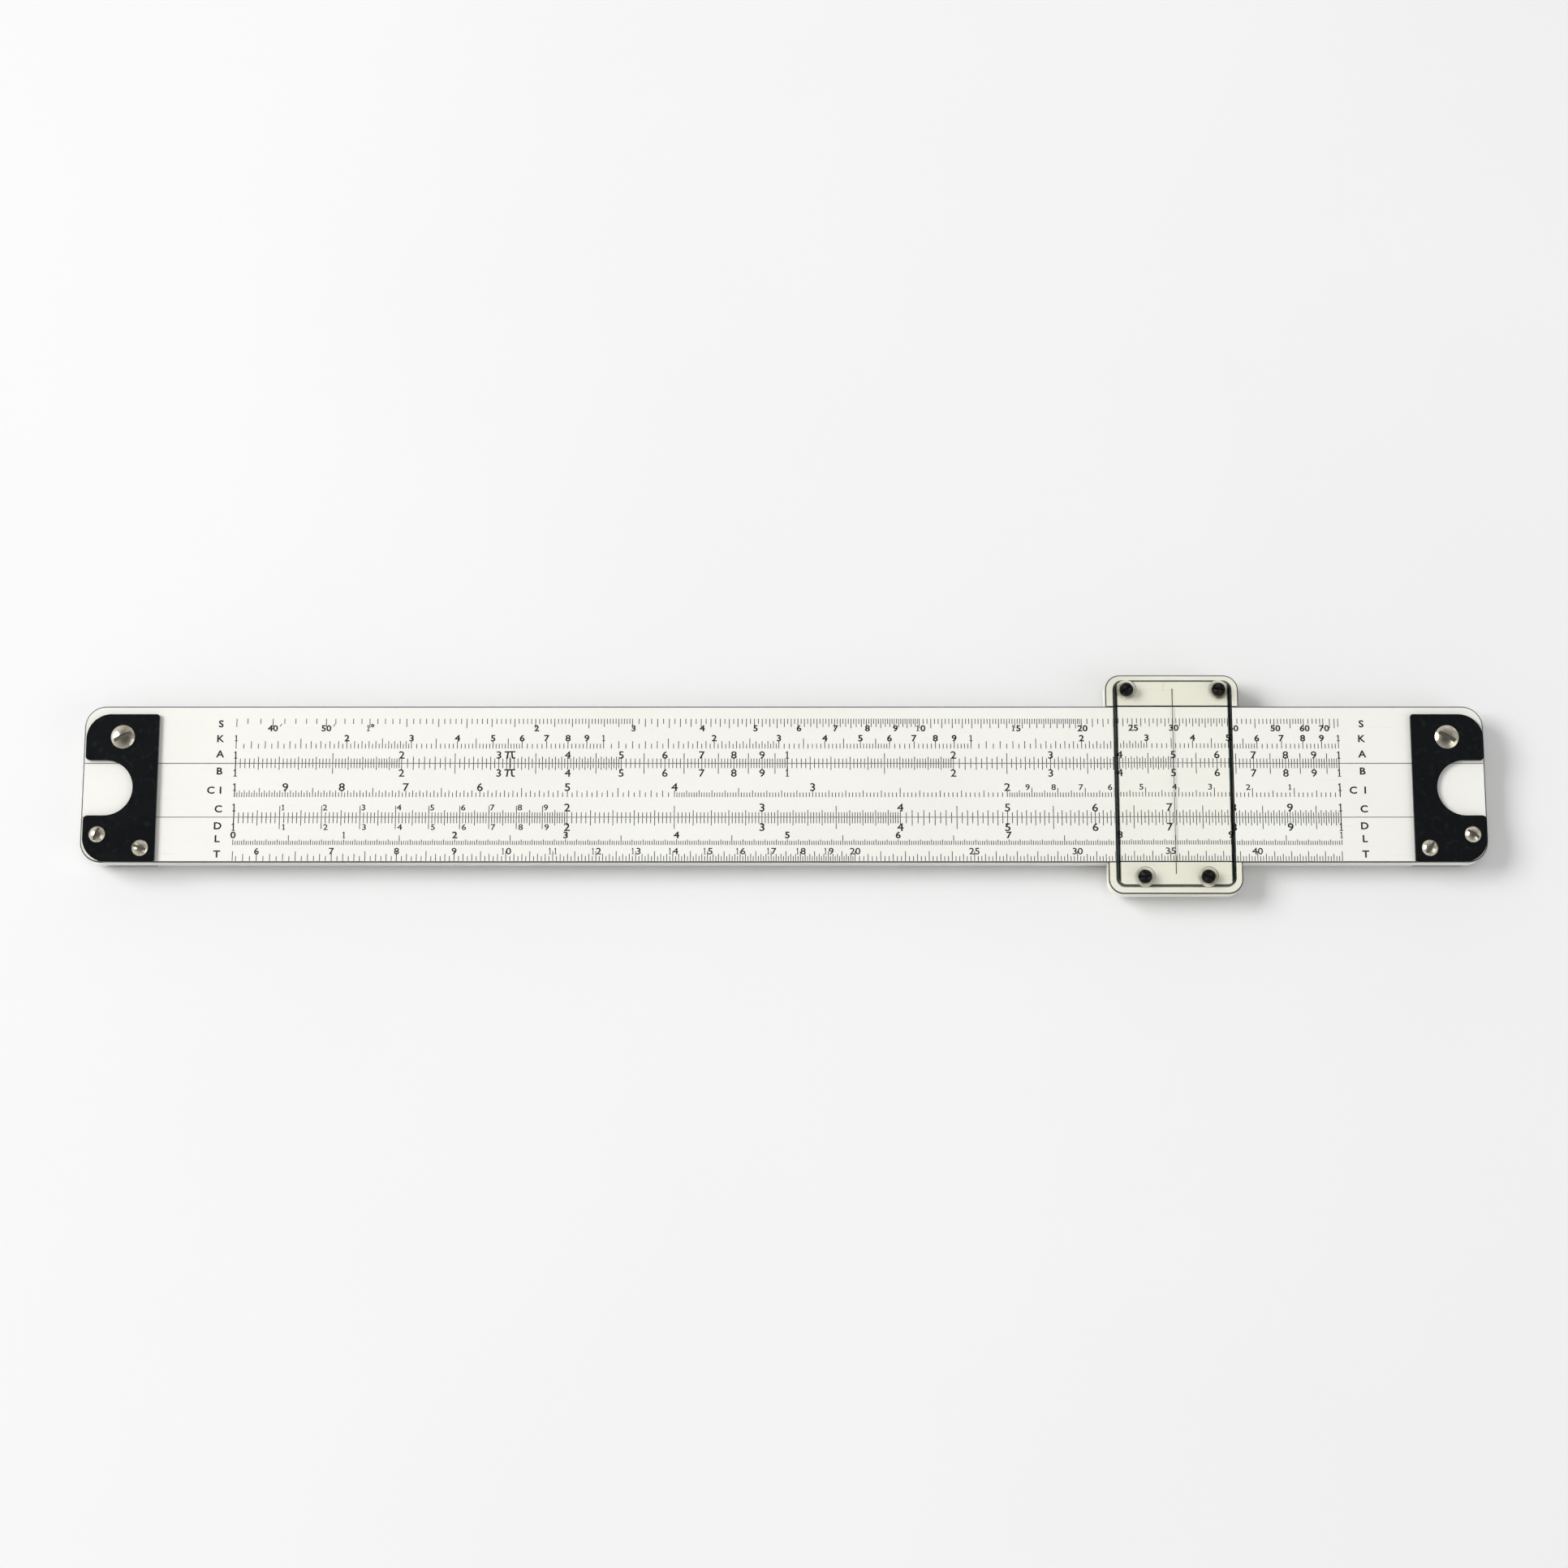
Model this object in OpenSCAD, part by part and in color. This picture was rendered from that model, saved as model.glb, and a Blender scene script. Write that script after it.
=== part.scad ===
// A duplex slide rule: two stators tied together by end plates, a slide that runs between them
// on tongues, and a cursor whose window and hairline run along the stators' outer edges.
//
// The rule lies on its back. X runs along it with the left index towards -X, +Y is the side of
// the upper stator, and +Z leaves the front face. The crowns of the back nuts rest on Z = 0.

/* [Body] */
// Length of the stators and the slide
body_length = 317.5; // [300:0.5:340]
// Width of the upper stator
upper_stator_width = 13.2; // [12:0.05:16]
// Width of the slide between its two joint lines
slide_width = 12.45; // [10:0.05:14]
// Width of the lower stator
lower_stator_width = 10.35; // [10:0.05:14]
// Thickness of the stators
body_thickness = 4.4; // [4:0.1:6]
// Radius of the body's outer corners, seen from the front
corner_radius = 4.8; // [1:0.1:6]
// Width of the chamfer round the outer rim of the body and of the cursor's blocks
rim_chamfer = 0.3; // [0.1:0.05:0.5]
// Width of the chamfer along each edge where the slide meets a stator
joint_chamfer = 0.06; // [0.04:0.01:0.2]

/* [Scales] */
// Distance from the left end to the left index
left_index_margin = 34.5; // [25:0.5:40]
// Length of the C and D scales
scale_length = 250; // [240:1:255]

/* [Tongues and grooves] */
// How far a tongue stands out of its edge
tongue_depth = 1.25; // [0.8:0.05:1.5]
// Thickness of a tongue
tongue_thickness = 1.4; // [1:0.1:2]
// Free space all round a sliding piece
running_gap = 0.05; // [0.03:0.01:0.09]

/* [End plates] */
// Size of a plate along the rule
plate_length = 16.4; // [14:0.1:20]
// Thickness of a plate
plate_thickness = 0.8; // [0.5:0.1:1.2]
// Strip of the upper stator left bare above a plate
plate_top_margin = 2; // [1:0.1:3]
// Strip left bare outside the left plates
left_end_margin = 0.65; // [0:0.05:1]
// Strip left bare outside the right plates
right_end_margin = 0.25; // [0:0.05:1]
// Radius of a plate's outer corners
plate_outer_radius = 5.6; // [3:0.1:7]
// Radius of a plate's inner corners
plate_inner_radius = 0.6; // [0.2:0.1:2]
// Height of the finger notch
notch_height = 12.7; // [10:0.1:14]
// Depth of the finger notch from the plate's outer edge
notch_depth = 10.9; // [8:0.1:12]
// Radius of the corners at the notch's mouth
notch_mouth_radius = 1; // [0.2:0.1:2]

/* [End fasteners] */
// Head diameter of the large screws and nuts
large_head_diameter = 5.4; // [5:0.1:6]
// Head diameter of the small screws and nuts
small_head_diameter = 3.7; // [3.2:0.1:4]
// Shank diameter of the large screws
large_shank_diameter = 2; // [1.8:0.1:2.2]
// Shank diameter of the small screws
small_shank_diameter = 1.4; // [1.2:0.1:1.5]
// Barrel diameter of the large nuts
large_barrel_diameter = 3.2; // [3:0.1:3.4]
// Barrel diameter of the small nuts
small_barrel_diameter = 2.3; // [2.1:0.1:2.4]
// Height of the screw heads and of the nut domes
head_height = 1; // [0.7:0.1:1.3]
// Room that the plates leave round the large screws for setting the upper stator
adjusting_room = 0.35; // [0.1:0.05:0.4]

/* [Cursor] */
// Distance of the hairline from the left index
hairline_position = 212.4; // [0:0.1:250]
// Size of a block along the rule
block_length = 30.3; // [28:0.1:34]
// How far the blocks reach from the rule's centre line
block_reach = 25.2; // [24.5:0.1:27]
// Radius of the blocks' outer corners
block_radius = 3.4; // [1:0.1:5]
// Size of the window along the rule
window_length = 27; // [25:0.1:28]
// Size of the window across the rule
window_height = 47.5; // [47:0.1:48.5]
// Thickness of the window
window_thickness = 1.6; // [1.2:0.1:2]
// Radius of the window's corners
window_radius = 2.1; // [1:0.1:3]
// Width of the chamfer round the window's front
window_chamfer = 0.5; // [0.2:0.05:0.6]
// Free space between the body's front face and the window
window_clearance = 0.3; // [0.2:0.05:0.4]
// Spacing of the upper pair of window screws
upper_screw_spacing = 20.9; // [19:0.1:21]
// Spacing of the lower pair of window screws
lower_screw_spacing = 14.2; // [12:0.1:20]
// Distance of the window screws from the edge of the body
window_screw_offset = 3.5; // [3:0.1:3.8]
// Head diameter of the window screws
window_screw_head = 3.05; // [2.8:0.05:3.4]
// Shank diameter of the window screws
window_screw_shank = 2; // [1.6:0.1:2.2]
// Diameter of the counterbores that take the heads
counterbore_diameter = 4.6; // [4:0.1:5]

/* [Hidden] */

LEFT = -1;
RIGHT = 1;
$fn = 96;
cut = 1; // how far a cutting solid runs past the face that it cuts

ivory = "#f2f1e6";
cream = "#e6e4d4";
ink = "#101113";
plate_black = "#0b0c12";
nickel = "#b9b3a0";

// Levels across the rule, from the lower edge to the upper edge
body_width = upper_stator_width + slide_width + lower_stator_width;
y_top = body_width / 2;
y_bottom = -body_width / 2;
y_upper_joint = y_top - upper_stator_width;
y_lower_joint = y_bottom + lower_stator_width;
plate_top = y_top - plate_top_margin;
plate_bottom = y_bottom;
plate_middle = (plate_top + plate_bottom) / 2;

// Levels through the rule, from the back to the front
z_back_plate = head_height;
z_body = z_back_plate + plate_thickness;
z_middle = z_body + body_thickness / 2;
z_face = z_body + body_thickness;
z_front_head = z_face + plate_thickness;
z_window = z_face + window_clearance;

// Grooves are larger than their tongues by the running gap, and twice as much at their bottom
groove_depth = tongue_depth + 2 * running_gap;
groove_thickness = tongue_thickness + 2 * running_gap;

// End fasteners, with their places measured inwards from the plate's outer edge and nearer rim
thread_gap = 0.02;
screw_tip_recess = 0.3;
barrel_top = z_body + 2.4;
slot_share = 0.17; // of the head's diameter
adjusting_inset = [8.3, 5.3];
fixing_outer_inset = [3.3, 6.3];
fixing_inner_inset = [plate_length - 3.3, 3.2];
large_crown_radius = 1.5;
small_crown_radius = 1.05;
rim_height = 0.15;

// Cursor
hairline_x = -body_length / 2 + left_index_margin + hairline_position;
hairline_width = 0.12;
hairline_depth = 0.08;
hairline_top = y_top + 3.9;
hairline_bottom = y_bottom - 2.7;
window_screw_slot = 0.5; // both wide and deep
counterbore_depth = 0.8;
window_screw_head_height = 1.1;
ejector_mark_radius = 2.1;
ejector_mark_depth = 0.06;
ejector_mark_y = (y_top + block_reach) / 2 + 0.6;
stub_length = 4.6;
spring_length = 19;
spring_thickness = 0.15;
spring_width = 1.2;

function end_margin(side) = side == LEFT ? left_end_margin : right_end_margin;
function plate_edge_x(side) = side * (body_length / 2 - end_margin(side));

// Places of the end fasteners
function adjusting_place(side) =
    [plate_edge_x(side) - side * adjusting_inset.x, plate_top - adjusting_inset.y];
function fixing_place(side, inset) = [plate_edge_x(side) - side * inset.x, plate_bottom + inset.y];
function fixing_outer_place(side) = fixing_place(side, fixing_outer_inset);
function fixing_inner_place(side) = fixing_place(side, fixing_inner_inset);

// Radius of the sphere whose cap has the given height between two circles
function cap_radius(wide, narrow, height) =
    sqrt(pow(narrow, 2) + pow(cap_centre(wide, narrow, height), 2));
// Depth of that sphere's centre behind the narrow circle
function cap_centre(wide, narrow, height) =
    (pow(height, 2) + pow(wide, 2) - pow(narrow, 2)) / (2 * height);

// ---- Shared shapes ----

// The waste outside a rounded corner at the origin that opens towards +X and +Y
module corner_waste(radius) {
    difference() {
        translate([-cut, -cut]) square(radius + cut);
        translate([radius, radius]) circle(radius);
    }
}

// A rectangle from low to high, with a radius for its corners in the order -X-Y, +X-Y, +X+Y, -X+Y
module rounded_outline(low, high, radii) {
    corners = [[low.x, low.y], [high.x, low.y], [high.x, high.y], [low.x, high.y]];
    difference() {
        translate(low) square(high - low);
        for (i = [0:3]) {
            if (radii[i] > 0) translate(corners[i]) rotate(90 * i) corner_waste(radii[i]);
        }
    }
}

// A groove or tongue that runs the whole length of the rule
module long_bar(y_low, y_high, thickness, length) {
    translate([-length / 2, y_low, z_middle - thickness / 2]) cube([length, y_high - y_low, thickness]);
}

// The square profile that, turned on its corner over an edge, cuts a chamfer of the given width
module chamfer_profile(width) {
    rotate(45) square(width * sqrt(2), center = true);
}

// Chamfers the rim of a rounded outline at the height z. Each edge that starts at a corner, in
// the order of rounded_outline, has its own width, and a rounded corner takes rounding_width
module rim_cut(low, high, radii, widths, rounding_width, z) {
    corners = [[low.x, low.y], [high.x, low.y], [high.x, high.y], [low.x, high.y]];
    size = high - low;
    for (i = [0:3]) {
        next_radius = radii[(i + 1) % 4];
        start = radii[i] > 0 ? radii[i] : -cut;
        end = (i % 2 == 0 ? size.x : size.y) + (next_radius > 0 ? -next_radius : cut);
        translate([corners[i].x, corners[i].y, z]) rotate(90 * i) {
            if (widths[i] > 0) translate([start, 0, 0]) rotate([90, 0, 90])
                linear_extrude(end - start) chamfer_profile(widths[i]);
            if (radii[i] > 0) translate([radii[i], radii[i], 0]) rotate(180)
                rotate_extrude(angle = 90) translate([radii[i], 0]) chamfer_profile(rounding_width);
        }
    }
}

// ---- Body ----

// Stepped hole through a stator: the nut's barrel from the back, the screw's shank from the front
module fastener_hole(place, barrel_diameter, shank_diameter) {
    translate([place.x, place.y, z_body - cut])
        cylinder(d = barrel_diameter + 2 * running_gap, h = barrel_top + 2 * running_gap - z_body + cut);
    translate([place.x, place.y, z_middle])
        cylinder(d = shank_diameter + 2 * running_gap, h = body_thickness);
}

module stator(low_y, high_y, radii, widths) {
    low = [-body_length / 2, low_y];
    high = [body_length / 2, high_y];
    difference() {
        translate([0, 0, z_body]) linear_extrude(body_thickness) rounded_outline(low, high, radii);
        for (z = [z_body, z_face]) rim_cut(low, high, radii, widths, rim_chamfer, z);
        long_bar(low_y - cut, low_y + groove_depth, groove_thickness, body_length + 2 * cut);
        long_bar(high_y - groove_depth, high_y + cut, groove_thickness, body_length + 2 * cut);
    }
}

module upper_stator() {
    color(ivory) difference() {
        stator(y_upper_joint, y_top, [0, 0, corner_radius, corner_radius],
            [joint_chamfer, rim_chamfer, rim_chamfer, rim_chamfer]);
        for (side = [LEFT, RIGHT])
            fastener_hole(adjusting_place(side), large_barrel_diameter, large_shank_diameter);
    }
}

module lower_stator() {
    color(ivory) difference() {
        stator(y_bottom, y_lower_joint, [corner_radius, corner_radius, 0, 0],
            [rim_chamfer, rim_chamfer, joint_chamfer, rim_chamfer]);
        for (side = [LEFT, RIGHT], place = [fixing_outer_place(side), fixing_inner_place(side)])
            fastener_hole(place, small_barrel_diameter, small_shank_diameter);
    }
}

module slide() {
    low = [-body_length / 2, y_lower_joint + running_gap, z_body + running_gap];
    high = [body_length / 2, y_upper_joint - running_gap, z_face - running_gap];
    widths = [joint_chamfer, rim_chamfer, joint_chamfer, rim_chamfer];
    color(ivory) {
        difference() {
            translate(low) cube(high - low);
            for (z = [low.z, high.z]) rim_cut(low, high, [0, 0, 0, 0], widths, 0, z);
        }
        long_bar(low.y - tongue_depth, high.y + tongue_depth, tongue_thickness, body_length);
    }
}

// ---- End plates ----

// The waste of the finger notch on the left plate, whose outer edge is at X = 0
module notch_waste() {
    radius = notch_height / 2;
    translate([-cut, -radius]) square([cut + notch_depth - radius, notch_height]);
    translate([notch_depth - radius, 0]) circle(radius);
    for (flip = [0, 1]) mirror([0, flip]) translate([0, radius]) mirror([0, 1]) difference() {
        translate([-cut, -notch_mouth_radius]) square(notch_mouth_radius + cut);
        translate([notch_mouth_radius, -notch_mouth_radius]) circle(notch_mouth_radius);
    }
}

module plate_outline(side) {
    translate([plate_edge_x(side), 0]) mirror([side == RIGHT ? 1 : 0, 0]) difference() {
        rounded_outline([0, plate_bottom], [plate_length, plate_top],
            [plate_outer_radius, plate_inner_radius, plate_inner_radius, plate_outer_radius]);
        translate([0, plate_middle]) notch_waste();
    }
}

module end_plate(side, z, large_hole, small_hole) {
    color(plate_black) translate([0, 0, z]) linear_extrude(plate_thickness) difference() {
        plate_outline(side);
        translate(adjusting_place(side)) circle(d = large_hole + 2 * adjusting_room);
        for (place = [fixing_outer_place(side), fixing_inner_place(side)])
            translate(place) circle(d = small_hole + 2 * running_gap);
    }
}

module front_plate(side) {
    end_plate(side, z_face, large_shank_diameter, small_shank_diameter);
}

module back_plate(side) {
    end_plate(side, z_back_plate, large_barrel_diameter, small_barrel_diameter);
}

// ---- End fasteners ----

// A slotted round-head screw that goes in from the front
module slotted_screw(place, head_diameter, shank_diameter, slot_angle) {
    rim = head_diameter / 2;
    dome = head_height - rim_height;
    slot_width = head_diameter * slot_share;
    color(nickel) translate([place.x, place.y, z_front_head]) {
        difference() {
            union() {
                cylinder(r = rim, h = rim_height);
                intersection() {
                    translate([0, 0, head_height - cap_radius(rim, 0, dome)])
                        sphere(cap_radius(rim, 0, dome));
                    translate([0, 0, rim_height]) cylinder(r = rim, h = head_height);
                }
            }
            translate([0, 0, head_height]) rotate(slot_angle)
                cube([head_diameter + cut, slot_width, head_height], center = true);
        }
        translate([0, 0, screw_tip_recess - z_front_head])
            cylinder(d = shank_diameter, h = z_front_head - screw_tip_recess);
    }
}

// A domed nut whose barrel goes in from the back, with a flat crown round its thread
module domed_nut(place, head_diameter, crown_radius, barrel_diameter, shank_diameter) {
    rim = head_diameter / 2;
    dome = head_height - rim_height;
    color(nickel) translate([place.x, place.y, 0]) difference() {
        union() {
            intersection() {
                translate([0, 0, cap_centre(rim, crown_radius, dome)])
                    sphere(cap_radius(rim, crown_radius, dome));
                cylinder(r = rim, h = dome);
            }
            translate([0, 0, dome]) cylinder(r = rim, h = rim_height);
            translate([0, 0, dome]) cylinder(d = barrel_diameter, h = barrel_top - dome);
        }
        translate([0, 0, -cut])
            cylinder(d = shank_diameter + 2 * thread_gap, h = barrel_top + 2 * cut);
    }
}

module adjusting_screw(side, slot_angle) {
    slotted_screw(adjusting_place(side), large_head_diameter, large_shank_diameter, slot_angle);
}

module fixing_screw(place, slot_angle) {
    slotted_screw(place, small_head_diameter, small_shank_diameter, slot_angle);
}

module adjusting_nut(side) {
    domed_nut(adjusting_place(side), large_head_diameter, large_crown_radius,
        large_barrel_diameter, large_shank_diameter);
}

module fixing_nut(place) {
    domed_nut(place, small_head_diameter, small_crown_radius, small_barrel_diameter, small_shank_diameter);
}

// ---- Cursor ----

function window_screw_places() = [
    for (side = [LEFT, RIGHT]) [hairline_x + side * upper_screw_spacing / 2, y_top + window_screw_offset],
    for (side = [LEFT, RIGHT]) [hairline_x + side * lower_screw_spacing / 2, y_bottom - window_screw_offset]
];

module hairline_bar() {
    translate([hairline_x - hairline_width / 2, hairline_bottom, z_window])
        cube([hairline_width, hairline_top - hairline_bottom, hairline_depth]);
}

module cursor_window() {
    low = [hairline_x - window_length / 2, -window_height / 2];
    high = [hairline_x + window_length / 2, window_height / 2];
    radii = [for (i = [0:3]) window_radius];
    widths = [for (i = [0:3]) window_chamfer];
    color("#cfe3dc", 0.35) difference() {
        translate([0, 0, z_window]) linear_extrude(window_thickness) rounded_outline(low, high, radii);
        rim_cut(low, high, radii, widths, window_chamfer, z_window + window_thickness);
        for (place = window_screw_places()) translate([place.x, place.y, z_window]) {
            translate([0, 0, -cut])
                cylinder(d = window_screw_shank + 2 * running_gap, h = window_thickness + 2 * cut);
            translate([0, 0, window_thickness - counterbore_depth])
                cylinder(d = counterbore_diameter, h = counterbore_depth + cut);
        }
        hairline_bar();
    }
}

module cursor_hairline() {
    color(ink) hairline_bar();
}

// A block on the side of the upper stator, seen from the hairline, without its tongue
module block_blank(screw_spacing) {
    low = [-block_length / 2, y_top + running_gap];
    high = [block_length / 2, block_reach];
    radii = [0, 0, block_radius, block_radius];
    widths = [0, rim_chamfer, rim_chamfer, rim_chamfer];
    difference() {
        translate([0, 0, z_body]) linear_extrude(z_window - z_body) rounded_outline(low, high, radii);
        for (z = [z_body, z_window]) rim_cut(low, high, radii, widths, rim_chamfer, z);
        for (side = [LEFT, RIGHT])
            translate([side * screw_spacing / 2, y_top + window_screw_offset, z_body - cut])
                cylinder(d = window_screw_shank + 2 * thread_gap, h = z_window);
    }
}

// A tongue on a block's inner face, from x_low to x_high
module block_tongue(x_low, x_high) {
    inner_y = y_top + running_gap;
    translate([x_low, inner_y - tongue_depth, z_middle - tongue_thickness / 2])
        cube([x_high - x_low, tongue_depth, tongue_thickness]);
}

module cursor_upper_block() {
    color(cream) translate([hairline_x, 0, 0]) {
        difference() {
            block_blank(upper_screw_spacing);
            for (z = [z_body, z_window])
                translate([0, ejector_mark_y, z])
                    cylinder(r = ejector_mark_radius, h = 2 * ejector_mark_depth, center = true);
        }
        block_tongue(-block_length / 2, -block_length / 2 + stub_length);
        block_tongue(block_length / 2 - stub_length, block_length / 2);
    }
}

module cursor_lower_block() {
    color(cream) translate([hairline_x, 0, 0]) mirror([0, 1, 0]) {
        block_blank(lower_screw_spacing);
        block_tongue(-block_length / 2, block_length / 2);
    }
}

// A leaf bowed from the upper block's inner face into the groove, just clear of its bottom
module cursor_tension_spring() {
    crown_y = y_top - groove_depth + running_gap;
    rise = y_top + running_gap - crown_y - spring_thickness;
    bow_radius = (pow(spring_length / 2, 2) + pow(rise, 2)) / (2 * rise);
    color("silver") intersection() {
        translate([hairline_x, crown_y + bow_radius, z_middle - spring_width / 2]) difference() {
            cylinder(r = bow_radius, h = spring_width, $fn = 360);
            translate([0, 0, -cut])
                cylinder(r = bow_radius - spring_thickness, h = spring_width + 2 * cut, $fn = 360);
        }
        translate([hairline_x - spring_length / 2, crown_y - cut, z_body])
            cube([spring_length, y_top + running_gap - crown_y + cut, body_thickness]);
    }
}

// A slotted screw sunk in the window and threaded right through its block
module cursor_screw(index, slot_angle) {
    place = window_screw_places()[index];
    seat = z_window + window_thickness - counterbore_depth;
    head_top = seat + window_screw_head_height;
    color(ink) translate([place.x, place.y, 0]) {
        difference() {
            translate([0, 0, seat]) cylinder(d = window_screw_head, h = window_screw_head_height);
            translate([0, 0, head_top]) rotate(slot_angle)
                cube([window_screw_head + cut, window_screw_slot, 2 * window_screw_slot], center = true);
        }
        translate([0, 0, z_body]) cylinder(d = window_screw_shank, h = seat - z_body);
    }
}

upper_stator();
lower_stator();
slide();
front_plate(LEFT);  // front_plate_left
front_plate(RIGHT);  // front_plate_right
back_plate(LEFT);  // back_plate_left
back_plate(RIGHT);  // back_plate_right
adjusting_screw(LEFT, 25);  // adjusting_screw_left
adjusting_screw(RIGHT, -28);  // adjusting_screw_right
fixing_screw(fixing_outer_place(LEFT), 70);  // fixing_screw_outer_left
fixing_screw(fixing_inner_place(LEFT), -20);  // fixing_screw_inner_left
fixing_screw(fixing_inner_place(RIGHT), 55);  // fixing_screw_inner_right
fixing_screw(fixing_outer_place(RIGHT), -35);  // fixing_screw_outer_right
adjusting_nut(LEFT);  // adjusting_nut_left
adjusting_nut(RIGHT);  // adjusting_nut_right
fixing_nut(fixing_outer_place(LEFT));  // fixing_nut_outer_left
fixing_nut(fixing_inner_place(LEFT));  // fixing_nut_inner_left
fixing_nut(fixing_inner_place(RIGHT));  // fixing_nut_inner_right
fixing_nut(fixing_outer_place(RIGHT));  // fixing_nut_outer_right
cursor_window();
cursor_hairline();
cursor_upper_block();
cursor_lower_block();
cursor_tension_spring();
cursor_screw(0, 35);  // cursor_screw_upper_left
cursor_screw(1, -10);  // cursor_screw_upper_right
cursor_screw(2, 5);  // cursor_screw_lower_left
cursor_screw(3, -25);  // cursor_screw_lower_right
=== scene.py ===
"""The looks of a duplex slide rule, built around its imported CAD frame.

The CAD nodes keep their shapes and get their materials and edges here. What Blender adds is the
print: every graduation, numeral and table on the rule is a thin closed shape of ink, laid on the
face that carries it, and it rides on the same body. The print functions take millimetres, and
everything else is in metres.
"""

import math

import bpy
import numpy as np
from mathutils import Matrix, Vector


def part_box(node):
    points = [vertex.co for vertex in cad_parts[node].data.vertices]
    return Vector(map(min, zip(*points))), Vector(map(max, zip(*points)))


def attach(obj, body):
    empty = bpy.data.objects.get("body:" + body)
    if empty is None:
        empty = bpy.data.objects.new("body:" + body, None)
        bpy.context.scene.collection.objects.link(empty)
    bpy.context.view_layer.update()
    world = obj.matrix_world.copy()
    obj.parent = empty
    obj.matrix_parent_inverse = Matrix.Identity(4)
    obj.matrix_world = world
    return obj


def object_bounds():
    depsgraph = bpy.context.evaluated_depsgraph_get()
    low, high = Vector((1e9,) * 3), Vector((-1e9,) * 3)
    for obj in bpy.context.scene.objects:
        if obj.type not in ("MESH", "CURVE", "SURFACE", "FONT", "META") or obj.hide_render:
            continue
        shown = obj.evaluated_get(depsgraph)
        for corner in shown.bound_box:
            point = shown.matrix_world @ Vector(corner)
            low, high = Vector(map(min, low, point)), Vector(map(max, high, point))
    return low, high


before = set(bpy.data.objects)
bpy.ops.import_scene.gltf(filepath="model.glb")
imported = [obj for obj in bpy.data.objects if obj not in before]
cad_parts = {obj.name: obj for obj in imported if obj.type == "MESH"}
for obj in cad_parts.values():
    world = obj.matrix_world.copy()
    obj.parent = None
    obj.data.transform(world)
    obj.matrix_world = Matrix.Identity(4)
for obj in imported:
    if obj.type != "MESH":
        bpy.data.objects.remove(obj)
cad_low, cad_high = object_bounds()

MM = 0.001

# The rule's own levels, read from the frame
upper_low, upper_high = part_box("upper_stator")
lower_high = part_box("lower_stator")[1]
slide_low, slide_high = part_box("slide")
HALF_WIDTH = upper_high.y / MM
LEFT_END = upper_low.x / MM
# The back's two joint lines, down from its upper edge, which is the lower stator's
BACK_JOINTS = (HALF_WIDTH + lower_high.y / MM, HALF_WIDTH + upper_low.y / MM)

# Places along the rule, in millimetres from its left end
LEFT_INDEX = 34.5
SCALE_LENGTH = 250.0

# Ink stands this far above its face, and is sunk this far into it
INK_PROUD = 0.015
INK_SUNK = 0.01
TICK_WIDTH = 0.16
INDEX_TICK_WIDTH = 0.22

# The built-in font's cap height at size 1, and how far its strokes are thickened at that size
CAP_HEIGHT = 0.69
PLAIN = 0.012
BOLD = 0.026

# Corners sharper than this stay sharp in the shading
CREASE = math.radians(30)


# ---- Materials ----

def new_material(name, color, roughness):
    """A Principled material with its constant values set on the shader's own sockets."""
    material = bpy.data.materials.new(name)
    material.use_nodes = True
    shader = material.node_tree.nodes["Principled BSDF"]
    shader.inputs["Base Color"].default_value = (*color, 1)
    shader.inputs["Roughness"].default_value = roughness
    return material, shader


def noise(material, scale, detail=2.0, stretch=(1, 1, 1)):
    """The factor of a noise texture over the object's own coordinates, in metres."""
    nodes, links = material.node_tree.nodes, material.node_tree.links
    place = nodes.new("ShaderNodeTexCoord")
    mapping = nodes.new("ShaderNodeMapping")
    texture = nodes.new("ShaderNodeTexNoise")
    mapping.inputs["Scale"].default_value = stretch
    texture.inputs["Scale"].default_value = scale
    texture.inputs["Detail"].default_value = detail
    links.new(place.outputs["Object"], mapping.inputs["Vector"])
    links.new(mapping.outputs["Vector"], texture.inputs["Vector"])
    return texture.outputs["Fac"]


def blend_colors(material, factor, low_color, high_color, low=0.35, high=0.65):
    """A colour that runs from one to the other as the factor runs from low to high."""
    ramp = material.node_tree.nodes.new("ShaderNodeValToRGB")
    ramp.color_ramp.elements[0].position = low
    ramp.color_ramp.elements[1].position = high
    ramp.color_ramp.elements[0].color = (*low_color, 1)
    ramp.color_ramp.elements[1].color = (*high_color, 1)
    material.node_tree.links.new(factor, ramp.inputs["Fac"])
    return ramp.outputs["Color"]


def vary(material, factor, low, high, start=0.3, stop=0.7, smooth=False):
    """A number that runs from low to high as the factor runs from start to stop."""
    spread = material.node_tree.nodes.new("ShaderNodeMapRange")
    spread.interpolation_type = "SMOOTHSTEP" if smooth else "LINEAR"
    spread.inputs["From Min"].default_value = start
    spread.inputs["From Max"].default_value = stop
    spread.inputs["To Min"].default_value = low
    spread.inputs["To Max"].default_value = high
    material.node_tree.links.new(factor, spread.inputs["Value"])
    return spread.outputs["Result"]


def reckon(material, operation, first, second=None):
    """The result of one step of arithmetic. Each of its terms is a number or a socket."""
    node = material.node_tree.nodes.new("ShaderNodeMath")
    node.operation = operation
    for socket, term in zip(node.inputs, (first, second)):
        if isinstance(term, float):
            socket.default_value = term
        elif term is not None:
            material.node_tree.links.new(term, socket)
    return node.outputs["Value"]


def coordinates(material, kind):
    """A texture coordinate of the given kind, as one socket and as its X, Y and Z sockets."""
    nodes, links = material.node_tree.nodes, material.node_tree.links
    place = nodes.new("ShaderNodeTexCoord").outputs[kind]
    parts = nodes.new("ShaderNodeSeparateXYZ")
    links.new(place, parts.inputs["Vector"])
    return place, parts.outputs


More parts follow.
